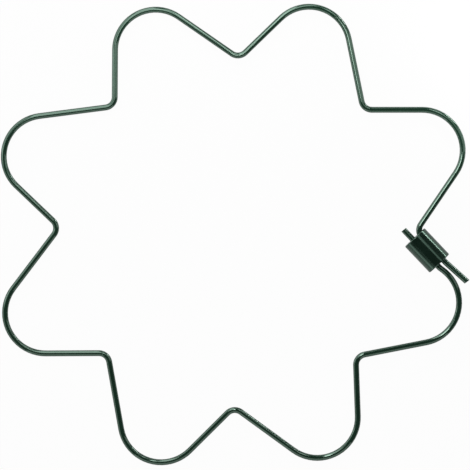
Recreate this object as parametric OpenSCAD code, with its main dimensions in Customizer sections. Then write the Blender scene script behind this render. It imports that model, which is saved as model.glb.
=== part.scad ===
// Plant support ring: one coated steel wire bent into lobes, with a sleeve that its two ends pass through.
// Millimetres. The ring lies flat in the plane z = 0, its middle at the origin, the sleeve on the +X side.

/* [Ring] */
// Number of lobes round the ring
lobe_count = 8; // [7:1:9]
// Diameter of the circle that the lobe centres lie on
lobe_circle_d = 269; // [255:1:290]
// Diameter of the circle that the notch centres lie on
notch_circle_d = 251; // [240:1:262]
// Diameter of the former that each lobe is bent round
lobe_former_d = 50; // [42:1:54]
// Diameter of the pin that each notch is bent round
notch_former_d = 10; // [9:0.5:12]
// Angle that each lobe leans, anticlockwise, from midway between its notches
lobe_lean = 1.75; // [0:0.25:3]
// Share of the uneven spring-back of a hand-bent ring, 0 for an even ring
spring_share = 1; // [0:0.25:1]

/* [Wire] */
// Diameter of the wire over its coating
wire_d = 4; // [3.5:0.1:4.4]
// Thickness of the plastic coating
coat_t = 0.4; // [0.3:0.05:0.6]
// Free length of the long end beyond the sleeve
long_end = 21; // [12:1:30]
// Free length of the short end beyond the sleeve
short_end = 8.7; // [5:0.1:14]
// Angle by which the long end is set away from the other wire
long_end_splay = 4.5; // [1:0.5:6]
// Angle off square at which the long end is cut
long_end_cut = 11; // [0:1:15]
// Angle off square at which the short end is cut
short_end_cut = 4.5; // [0:0.5:15]

/* [Sleeve] */
// Outer diameter of the sleeve
sleeve_d = 18; // [17:0.5:22]
// Length of the sleeve
sleeve_len = 24; // [20:0.5:30]
// Angle from the ring's radius to the sleeve's axis
sleeve_slew = 45.8; // [42:0.1:48]
// Distance between the two bores
bore_pitch = 5.3; // [5:0.05:6]
// Distance of the middle of the two bores from the sleeve's axis
bore_shift = 0.8; // [0:0.1:1.2]
// Clearance on the radius between the wire and its bore
bore_clearance = 0.1; // [0.05:0.05:0.2]
// Radius of the sleeve's end edges
edge_r = 0.7; // [0.4:0.1:1]
// How far the sleeve slides along the wire ends
sleeve_travel = 1.5; // [1:0.1:2]

/* [Hidden] */
$fn = 48;

// Gap that keeps the coating and the core two solids
coat_gap = 0.02;
// The straights are drawn this much thinner on the radius than the bends, and lap into them, as one bar
straight_thin = 0.01;
lap = 0.1;
// Lead-in at the plain bore mouths
mouth_chamfer = 0.3;
// How far past the sleeve's stop the bend on the short end's wire starts
stop_gap = 0.1;
// How far inside the sleeve the bend on the long end's wire starts, so that the sleeve seats on that bend
seat_depth = 3.45;
// Share of that depth at which the bell of the seat begins, and its clearance on the wire
bell_start = 0.2;
bell_clearance = 0.3;
// How far past the sleeve's travel the long end's set begins
set_gap = 0.5;
// Length by which a cutting shape runs past a face
over = 1;
// Length and width of the block that cuts off each end of the wire
offcut_len = 4 * over;
offcut_w = 2 * wire_d;

core_d = wire_d - 2 * coat_t - 2 * coat_gap;
bore_r = wire_d / 2 + bore_clearance;
// Centre-line radii of the two kinds of bend
lobe_r = (lobe_former_d + wire_d) / 2;
notch_r = (notch_former_d + wire_d) / 2;

// Angle of a pitch, and of the notch where the sleeve sits
pitch_a = 360 / lobe_count;
sleeve_notch_a = -0.7;
// Heading of the sleeve's axis, from the short end to the long end, and of the wire that runs in against it
sleeve_a = sleeve_notch_a - sleeve_slew;
run_a = sleeve_a + 180;
// How far the last lobe bends past that heading, and the straight before the wire turns back into the sleeve
last_lobe_over = 10.2;
last_leg = 1.7;

// Spring-back of each bend off its even place, read to half a millimetre: [outwards, anticlockwise]
lobe_spring = [[1.5, 0], [-2, -1], [-2.5, 0], [2, -0.5], [2.5, -1], [1, 0.5], [0.5, 1], [-3.5, 1]];
notch_spring = [[0, 0], [1.5, -0.5], [-1, -0.5], [-0.5, -0.5], [0.5, -1], [0.5, -0.5], [0, 1.5], [-1, 1]];

function along(a) = [cos(a), sin(a)];
function across(a) = [-sin(a), cos(a)];
function spring(list, i) = spring_share * list[i % len(list)];
function bend_place(circle_d, a, off) = (circle_d / 2 + off[0]) * along(a) + off[1] * across(a);
function lobe_place(i) =
    bend_place(lobe_circle_d, sleeve_notch_a + (i + 0.5) * pitch_a + lobe_lean, spring(lobe_spring, i));
function notch_place(i) =
    bend_place(notch_circle_d, sleeve_notch_a + i * pitch_a, spring(notch_spring, i));

// The last bend turns the wire from the last lobe into the sleeve, so that lobe sets the sleeve's place
last_bend = lobe_place(lobe_count - 1)
    - (lobe_r + notch_r) * across(run_a + last_lobe_over)
    + last_leg * along(run_a + last_lobe_over);
short_bore = bore_shift - bore_pitch / 2;
long_bore = bore_shift + bore_pitch / 2;
sleeve_mid = last_bend
    - (notch_r + short_bore) * across(sleeve_a)
    - (sleeve_len / 2 + sleeve_travel + stop_gap) * along(sleeve_a);

// A place given along the sleeve and across it
function at_sleeve(s, t) = sleeve_mid + s * along(sleeve_a) + t * across(sleeve_a);

// The slight set in the long end, just clear of the sleeve's travel, and the bend that the sleeve seats on
set_s = sleeve_len / 2 + sleeve_travel + set_gap;
seat_s = seat_depth - sleeve_len / 2;
set_bend = at_sleeve(set_s, long_bore + notch_r);
seat_bend = at_sleeve(seat_s, long_bore + notch_r);

// Every bend from the long end round to the short end: [centre, radius]; a radius below 0 turns right
bends = concat(
    [[set_bend, -notch_r], [seat_bend, -notch_r], [lobe_place(0), lobe_r]],
    [for (i = [1 : lobe_count - 1], b = [[notch_place(i), -notch_r], [lobe_place(i), lobe_r]]) b],
    [[last_bend, -notch_r]]
);
last = len(bends) - 1;

// Heading and length of the straight that touches two bends
function leg_heading(b, c) =
    let (d = c[0] - b[0])
    atan2(d[1], d[0]) - asin((c[1] - b[1]) / norm(d));
function leg_length(b, c) = sqrt(pow(norm(c[0] - b[0]), 2) - pow(c[1] - b[1], 2));

// Headings and lengths of all the straights, where straight i leads into bend i
headings = concat(
    [run_a + long_end_splay],
    [for (i = [1 : last]) leg_heading(bends[i - 1], bends[i])],
    [run_a]
);
lengths = concat(
    [long_end + sleeve_len / 2 - set_s],
    [for (i = [1 : last]) leg_length(bends[i - 1], bends[i])],
    [sleeve_travel + stop_gap + sleeve_len + short_end]
);

// Where a straight of a heading touches a bend, where each straight starts, and how far each bend turns
function touch(b, heading) = b[0] - b[1] * across(heading);
function straight_start(i) =
    i == 0
        ? touch(bends[0], headings[0]) - lengths[0] * along(headings[0])
        : touch(bends[i - 1], headings[i]);
function bend_turn(i) =
    let (a = headings[i + 1] - headings[i])
    a - 360 * round(a / 360);

// The cuts at the wire's two ends: [middle of the cut, heading out of the wire, angle off square]
cuts = [
    [straight_start(0), headings[0] + 180, long_end_cut],
    [straight_start(last + 1) + lengths[last + 1] * along(run_a), run_a, short_end_cut]
];

// The seat's bell: the bent wire's middle and half width where it leaves the sleeve
bell_inner = notch_r - wire_d / 2 - sqrt(pow(notch_r - wire_d / 2, 2) - pow(seat_depth, 2));
bell_outer = notch_r + wire_d / 2 - sqrt(pow(notch_r + wire_d / 2, 2) - pow(seat_depth, 2));
bell_tilt = atan((bell_inner + bell_outer) / 2 / ((1 - bell_start) * seat_depth));
bell_r = (wire_d / 2 + (bell_inner - bell_outer) / 2 + bell_clearance) * cos(bell_tilt);

// A straight bar from a point along a heading, made longer at its start and end
module straight(from, heading, length, d, before, after) {
    start = from - before * along(heading);
    translate([start[0], start[1], 0])
        rotate([0, 90, heading])
            cylinder(d = d, h = before + length + after);
}

// A bar bent round a centre between two headings
module bend(b, heading_in, turn, d) {
    first = turn > 0 ? heading_in - 90 : heading_in + turn + 90;
    translate([b[0][0], b[0][1], 0])
        rotate(first)
            rotate_extrude(angle = abs(turn))
                translate([abs(b[1]), 0])
                    circle(d = d);
}

// The whole bent wire at a diameter, before it is cut, longer at its two ends by extra
module bent_wire(d, extra) {
    for (i = [0 : last])
        bend(bends[i], headings[i], bend_turn(i), d);
    for (i = [0 : last + 1])
        straight(
            straight_start(i), headings[i], lengths[i], d - 2 * straight_thin,
            i == 0 ? extra : lap, i == last + 1 ? extra : lap
        );
}

// What is cut off at the wire's two ends
module offcuts() {
    for (c = cuts)
        translate([c[0][0], c[0][1], 0])
            rotate(c[1] - c[2])
                translate([0, -offcut_w / 2, -offcut_w / 2])
                    cube([offcut_len, offcut_w, offcut_w]);
}

// The bare steel wire
module wire_core() {
    color("silver")
        difference() {
            bent_wire(core_d, over);
            offcuts();
        }
}

// The plastic jacket, cut with the wire at both ends
module wire_coating() {
    color("darkgreen")
        difference() {
            bent_wire(wire_d, over);
            bent_wire(core_d + 2 * coat_gap, 2 * over);
            offcuts();
        }
}

// The sleeve's round body along its own axis, with rounded end edges
module sleeve_body() {
    flat = sleeve_len / 2 - edge_r;
    rotate_extrude() {
        translate([0, -flat])
            square([sleeve_d / 2, 2 * flat]);
        translate([0, -sleeve_len / 2])
            square([sleeve_d / 2 - edge_r, sleeve_len]);
        for (y = [-flat, flat])
            translate([sleeve_d / 2 - edge_r, y])
                circle(r = edge_r);
    }
}

// A bore right through the sleeve
module bore() {
    cylinder(r = bore_r, h = sleeve_len + 2 * over, center = true);
}

// A lead-in on the mouth at the end that side names
module mouth(side) {
    depth = mouth_chamfer + over;
    rotate([side > 0 ? 0 : 180, 0, 0])
        translate([0, 0, sleeve_len / 2 - mouth_chamfer])
            cylinder(r1 = bore_r, r2 = bore_r + depth, h = depth);
}

// The bell that lets the sleeve seat over the start of the bend, leaning away from the other bore
module seat_bell() {
    translate([0, 0, (1 - bell_start) * seat_depth - sleeve_len / 2])
        rotate([180 - bell_tilt, 0, 0])
            cylinder(r = bell_r, h = seat_depth + over);
}

// The connector that holds the two wire ends side by side
module sleeve() {
    color("darkslategray")
        translate([sleeve_mid[0], sleeve_mid[1], 0])
            rotate(sleeve_a - 90)
                rotate([-90, 0, 0])
                    difference() {
                        sleeve_body();
                        translate([-short_bore, 0, 0]) {
                            bore();
                            mouth(1);
                            mouth(-1);
                        }
                        translate([-long_bore, 0, 0]) {
                            bore();
                            mouth(1);
                            rotate(-90)
                                seat_bell();
                        }
                    }
}

wire_core();
wire_coating();
sleeve();
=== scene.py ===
"""Studio picture of a plant support ring, seen from above: a coated wire bent into lobes, and its sleeve."""
import math

import bpy
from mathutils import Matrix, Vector


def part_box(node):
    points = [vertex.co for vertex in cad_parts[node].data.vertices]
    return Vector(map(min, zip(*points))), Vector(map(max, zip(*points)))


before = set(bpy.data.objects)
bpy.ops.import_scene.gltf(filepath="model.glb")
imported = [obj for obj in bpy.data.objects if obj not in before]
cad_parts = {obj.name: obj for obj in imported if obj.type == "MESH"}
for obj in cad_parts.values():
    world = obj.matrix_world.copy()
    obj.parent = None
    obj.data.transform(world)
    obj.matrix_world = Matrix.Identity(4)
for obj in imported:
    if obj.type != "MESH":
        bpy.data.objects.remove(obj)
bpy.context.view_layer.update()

# Lengths are in metres, unless a name ends in MM

# The camera looks straight down: the picture's width at the wire, the lens, and the point in the middle
FRAME_W = 0.31285
LENS_MM = 400.0
SENSOR_MM = 36.0
AIM_X = 0.0001
AIM_Y = -0.0020

# The floor is flat under the ring and sweeps up to a rim far out
FLOOR_FLAT_R = 6.0
FLOOR_SWEEP_R = 1.7
FLOOR_SIDES = 96
SWEEP_STEPS = 10

# Share of white glow in the floor, as the camera sees it and as it shows in gloss
FLOOR_GLOW_SHARE = 0.97
FLOOR_GLOW_IN_GLOSS = 0.3

# Brightness of the surround above the rim
WORLD_LEVEL = 0.02

# Softboxes: where the middle is, the turn and tilt in degrees of the way it faces, width and height, and
# how bright it looks beside white
LAMPS = {
    "key": dict(place=(-0.14, 0.37, 0.30), turn=-80.0, tilt=-50.0, size=(0.20, 0.73), glow=2.6),
    "back": dict(place=(0.42, 0.80, 0.94), turn=-130.0, tilt=-90.0, size=(0.23, 0.50), glow=4.1),
    "left": dict(place=(-0.44, 0.26, 0.16), turn=-30.0, tilt=-40.0, size=(0.50, 0.44), glow=1.5),
    "right": dict(place=(0.48, 0.17, 0.43), turn=150.0, tilt=5.0, size=(0.31, 0.86), glow=0.8),
    "right_low": dict(place=(0.64, 0.59, 0.04), turn=-85.0, tilt=45.0, size=(0.34, 0.12), glow=19.0),
    "front": dict(place=(0.12, -0.58, 0.39), turn=90.0, tilt=0.0, size=(1.04, 0.67), glow=0.8),
    "front_low": dict(place=(-0.60, -0.41, 0.25), turn=5.0, tilt=25.0, size=(1.18, 0.49), glow=0.8),
    "sleeve_line": dict(place=(0.29, 0.24, 0.48), turn=155.0, tilt=-40.0, size=(0.30, 0.22), glow=1.0),
    "upright_strip": dict(place=(0.00, 0.11, 0.52), turn=-25.0, tilt=-5.0, size=(0.08, 0.39), glow=7.4),
    "back_low": dict(place=(0.05, 0.35, 0.14), turn=70.0, tilt=-85.0, size=(0.10, 0.39), glow=2.2),
}

# A softbox that lights the floor beside the sleeve and isn't itself seen in gloss
FLOOR_WASH = dict(place=(0.24, 0.09, 0.10), turn=45.0, tilt=-50.0, size=(0.20, 0.12), glow=8.0)

# Colours, in linear light
WHITE = (1.0, 1.0, 1.0, 1.0)
FLOOR_PALE = (0.62, 0.62, 0.62, 1.0)
COAT_GREEN = (0.014, 0.043, 0.026, 1.0)
COAT_GREEN_DEEP = (0.011, 0.034, 0.020, 1.0)
SLEEVE_GREEN = (0.009, 0.022, 0.015, 1.0)
SLEEVE_GREEN_DEEP = (0.006, 0.015, 0.010, 1.0)
STEEL_GREY = (0.42, 0.42, 0.41, 1.0)
STEEL_DARK = (0.16, 0.15, 0.14, 1.0)

# Gloss: its tint and strength on the plastics, and the reach of the roughness
COAT_GLOSS = (0.70, 1.0, 0.82, 1.0)
COAT_IOR = 2.0
COAT_ROUGHNESS = (0.03, 0.07)
SLEEVE_GLOSS = (0.60, 1.0, 0.78, 1.0)
SLEEVE_IOR = 1.86
SLEEVE_ROUGHNESS = (0.08, 0.16)
STEEL_ROUGHNESS = (0.3, 0.6)

# Noise patterns: cells to the metre, octaves of detail, and how strong the finer octaves are
COAT_SHADE = (60.0, 3.0, 0.5)
COAT_SCUFFS = (900.0, 4.0, 0.6)
COAT_PEEL = (420.0, 1.0, 0.5)
COAT_GRAIN = (2600.0, 3.0, 0.6)
SLEEVE_SHADE = (120.0, 3.0, 0.5)
SLEEVE_SCUFFS = (700.0, 4.0, 0.6)
SLEEVE_GRAIN = (1800.0, 3.0, 0.6)
STEEL_FILM = (1500.0, 4.0, 0.7)
STEEL_RUBS = (2500.0, 3.0, 0.5)
STEEL_TEARS = (4000.0, 4.0, 0.7)

# Where in a noise pattern the deep shade ends and the full one starts
PLASTIC_SHADE_ENDS = (0.35, 0.65)
STEEL_SHADE_ENDS = (0.3, 0.7)

# Heights of the surface patterns
COAT_PEEL_HEIGHT = 3.0e-6
COAT_GRAIN_HEIGHT = 3.0e-7
SLEEVE_GRAIN_HEIGHT = 6.0e-6
STEEL_TEAR_HEIGHT = 3.0e-5


class Nodes:
    """A material's node tree, with short calls to add and link its nodes."""

    def __init__(self, name):
        self.material = bpy.data.materials.new(name)
        self.material.use_nodes = True
        self.tree = self.material.node_tree
        self.tree.nodes.clear()
        self.output = self.add("ShaderNodeOutputMaterial")

    def add(self, kind, **settings):
        node = self.tree.nodes.new(kind)
        for key, value in settings.items():
            setattr(node, key, value)
        return node

    def link(self, source, target):
        self.tree.links.new(source, target)

    def noise(self, pattern):
        scale, detail, roughness = pattern
        place = self.add("ShaderNodeTexCoord")
        node = self.add("ShaderNodeTexNoise")
        node.inputs["Scale"].default_value = scale
        node.inputs["Detail"].default_value = detail
        node.inputs["Roughness"].default_value = roughness
        self.link(place.outputs["Object"], node.inputs["Vector"])
        return node.outputs["Fac"]

    def shade(self, pattern, ends, deep, full):
        node = self.add("ShaderNodeValToRGB")
        for stop, position, colour in zip(node.color_ramp.elements, ends, (deep, full)):
            stop.position = position
            stop.color = colour
        self.link(self.noise(pattern), node.inputs["Fac"])
        return node.outputs["Color"]

    def spread(self, pattern, ends):
        low, high = ends
        node = self.add("ShaderNodeMapRange")
        node.inputs["To Min"].default_value = low
        node.inputs["To Max"].default_value = high
        self.link(self.noise(pattern), node.inputs["Value"])
        return node.outputs["Result"]

    def bump(self, pattern, height, normal=None):
        node = self.add("ShaderNodeBump")
        node.inputs["Distance"].default_value = height
        self.link(self.noise(pattern), node.inputs["Height"])
        if normal is not None:
            self.link(normal, node.inputs["Normal"])
        return node.outputs["Normal"]

    def surface(self, colour, roughness, normal):
        shader = self.add("ShaderNodeBsdfPrincipled")
        self.link(colour, shader.inputs["Base Color"])
        self.link(roughness, shader.inputs["Roughness"])
        self.link(normal, shader.inputs["Normal"])
        self.link(shader.outputs["BSDF"], self.output.inputs["Surface"])
        return shader


def coating_material():
    """Glossy green plastic over wire: a soft orange peel, fine scuffs and slight changes of shade."""
    m = Nodes("green_coating")
    colour = m.shade(COAT_SHADE, PLASTIC_SHADE_ENDS, COAT_GREEN_DEEP, COAT_GREEN)
    roughness = m.spread(COAT_SCUFFS, COAT_ROUGHNESS)
    peel = m.bump(COAT_PEEL, COAT_PEEL_HEIGHT)
    grain = m.bump(COAT_GRAIN, COAT_GRAIN_HEIGHT, normal=peel)
    shader = m.surface(colour, roughness, grain)
    shader.inputs["IOR"].default_value = COAT_IOR
    shader.inputs["Specular Tint"].default_value = COAT_GLOSS
    return m.material


def sleeve_material():
    """Near-black green moulded plastic, glossy, with a faint moulding grain."""
    m = Nodes("sleeve_plastic")
    colour = m.shade(SLEEVE_SHADE, PLASTIC_SHADE_ENDS, SLEEVE_GREEN_DEEP, SLEEVE_GREEN)
    roughness = m.spread(SLEEVE_SCUFFS, SLEEVE_ROUGHNESS)
    grain = m.bump(SLEEVE_GRAIN, SLEEVE_GRAIN_HEIGHT)
    shader = m.surface(colour, roughness, grain)
    shader.inputs["IOR"].default_value = SLEEVE_IOR
    shader.inputs["Specular Tint"].default_value = SLEEVE_GLOSS
    return m.material


def steel_material():
    """Sheared steel at the wire's cut ends, with tear marks and a dull film."""
    m = Nodes("cut_steel")
    colour = m.shade(STEEL_FILM, STEEL_SHADE_ENDS, STEEL_DARK, STEEL_GREY)
    roughness = m.spread(STEEL_RUBS, STEEL_ROUGHNESS)
    tears = m.bump(STEEL_TEARS, STEEL_TEAR_HEIGHT)
    shader = m.surface(colour, roughness, tears)
    shader.inputs["Metallic"].default_value = 1.0
    return m.material


def floor_material():
    """Pale floor that shows white to the camera, glows a little in gloss and keeps a soft shadow."""
    m = Nodes("pale_floor")
    matt = m.add("ShaderNodeBsdfDiffuse")
    matt.inputs["Color"].default_value = FLOOR_PALE
    glow = m.add("ShaderNodeEmission")
    path = m.add("ShaderNodeLightPath")
    gloss = m.add("ShaderNodeMath", operation="ADD", use_clamp=True)
    m.link(path.outputs["Is Glossy Ray"], gloss.inputs[0])
    m.link(path.outputs["Is Transmission Ray"], gloss.inputs[1])
    part = m.add("ShaderNodeMath", operation="MULTIPLY")
    part.inputs[1].default_value = FLOOR_GLOW_IN_GLOSS
    m.link(gloss.outputs[0], part.inputs[0])
    share = m.add("ShaderNodeMath", operation="MULTIPLY_ADD", use_clamp=True)
    share.inputs[1].default_value = FLOOR_GLOW_SHARE
    m.link(path.outputs["Is Camera Ray"], share.inputs[0])
    m.link(part.outputs[0], share.inputs[2])
    mix = m.add("ShaderNodeMixShader")
    m.link(share.outputs[0], mix.inputs["Fac"])
    m.link(matt.outputs["BSDF"], mix.inputs[1])
    m.link(glow.outputs["Emission"], mix.inputs[2])
    m.link(mix.outputs["Shader"], m.output.inputs["Surface"])
    return m.material


def finish_nodes():
    """Gives every CAD node its finish."""
    finishes = {
        "wire_core": steel_material(),
        "wire_coating": coating_material(),
        "sleeve": sleeve_material(),
    }
    for name, material in finishes.items():
        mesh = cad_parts[name].data
        mesh.materials.clear()
        mesh.materials.append(material)


def make_floor():
    """A round floor that touches the sleeve's lowest line and that of the lobes across from it."""
    sleeve_low, sleeve_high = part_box("sleeve")
    wire_low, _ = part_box("wire_coating")
    sleeve_x = (sleeve_low.x + sleeve_high.x) / 2
    slope = (sleeve_low.z - wire_low.z) / (sleeve_x - wire_low.x)
    points = [(0.0, 0.0, wire_low.z - slope * wire_low.x)]
    for step in range(SWEEP_STEPS + 1):
        sweep = math.radians(90.0 * step / SWEEP_STEPS)
        radius = FLOOR_FLAT_R + FLOOR_SWEEP_R * math.sin(sweep)
        rise = FLOOR_SWEEP_R * (1 - math.cos(sweep))
        for side in range(FLOOR_SIDES):
            around = math.tau * side / FLOOR_SIDES
            x = radius * math.cos(around)
            y = radius * math.sin(around)
            points.append((x, y, wire_low.z + slope * (x - wire_low.x) + rise))
    faces = [(0, 1 + side, 1 + (side + 1) % FLOOR_SIDES) for side in range(FLOOR_SIDES)]
    for step in range(SWEEP_STEPS):
        inner = 1 + step * FLOOR_SIDES
        outer = inner + FLOOR_SIDES
        for side in range(FLOOR_SIDES):
            after = (side + 1) % FLOOR_SIDES
            faces.append((inner + side, outer + side, outer + after, inner + after))
    mesh = bpy.data.meshes.new("floor")
    mesh.from_pydata(points, [], faces)
    mesh.shade_smooth()
    floor = bpy.data.objects.new("floor", mesh)
    bpy.context.scene.collection.objects.link(floor)
    mesh.materials.append(floor_material())


def make_camera():
    """Straight above the ring, with +Y up in the picture."""
    data = bpy.data.cameras.new("camera")
    data.lens = LENS_MM
    data.sensor_width = SENSOR_MM
    camera = bpy.data.objects.new("camera", data)
    camera.location = (AIM_X, AIM_Y, FRAME_W * LENS_MM / SENSOR_MM)
    bpy.context.scene.collection.objects.link(camera)
    bpy.context.scene.camera = camera


def soft_lamp(name, place, turn, tilt, size, glow):
    """A rectangular softbox, which the camera doesn't see."""
    around = math.radians(turn)
    up = math.radians(tilt)
    facing = Vector((math.cos(up) * math.cos(around), math.cos(up) * math.sin(around), math.sin(up)))
    width, height = size
    data = bpy.data.lights.new(name, "AREA")
    data.shape = "RECTANGLE"
    data.size = width
    data.size_y = height
    data.energy = glow * math.pi * width * height
    lamp = bpy.data.objects.new(name, data)
    lamp.location = place
    lamp.rotation_mode = "QUATERNION"
    lamp.rotation_quaternion = facing.to_track_quat("-Z", "Y")
    lamp.visible_camera = False
    bpy.context.scene.collection.objects.link(lamp)
    return lamp


def make_light():
    """The softboxes and a dim surround."""
    for name, settings in LAMPS.items():
        soft_lamp(name, **settings)
    floor_wash = soft_lamp("floor_wash", **FLOOR_WASH)
    floor_wash.visible_glossy = False
    world = bpy.data.worlds.new("surround")
    world.use_nodes = True
    background = world.node_tree.nodes["Background"]
    background.inputs["Color"].default_value = WHITE
    background.inputs["Strength"].default_value = WORLD_LEVEL
    bpy.context.scene.world = world


bpy.context.scene.view_settings.view_transform = "Standard"
make_camera()
finish_nodes()
make_floor()
make_light()
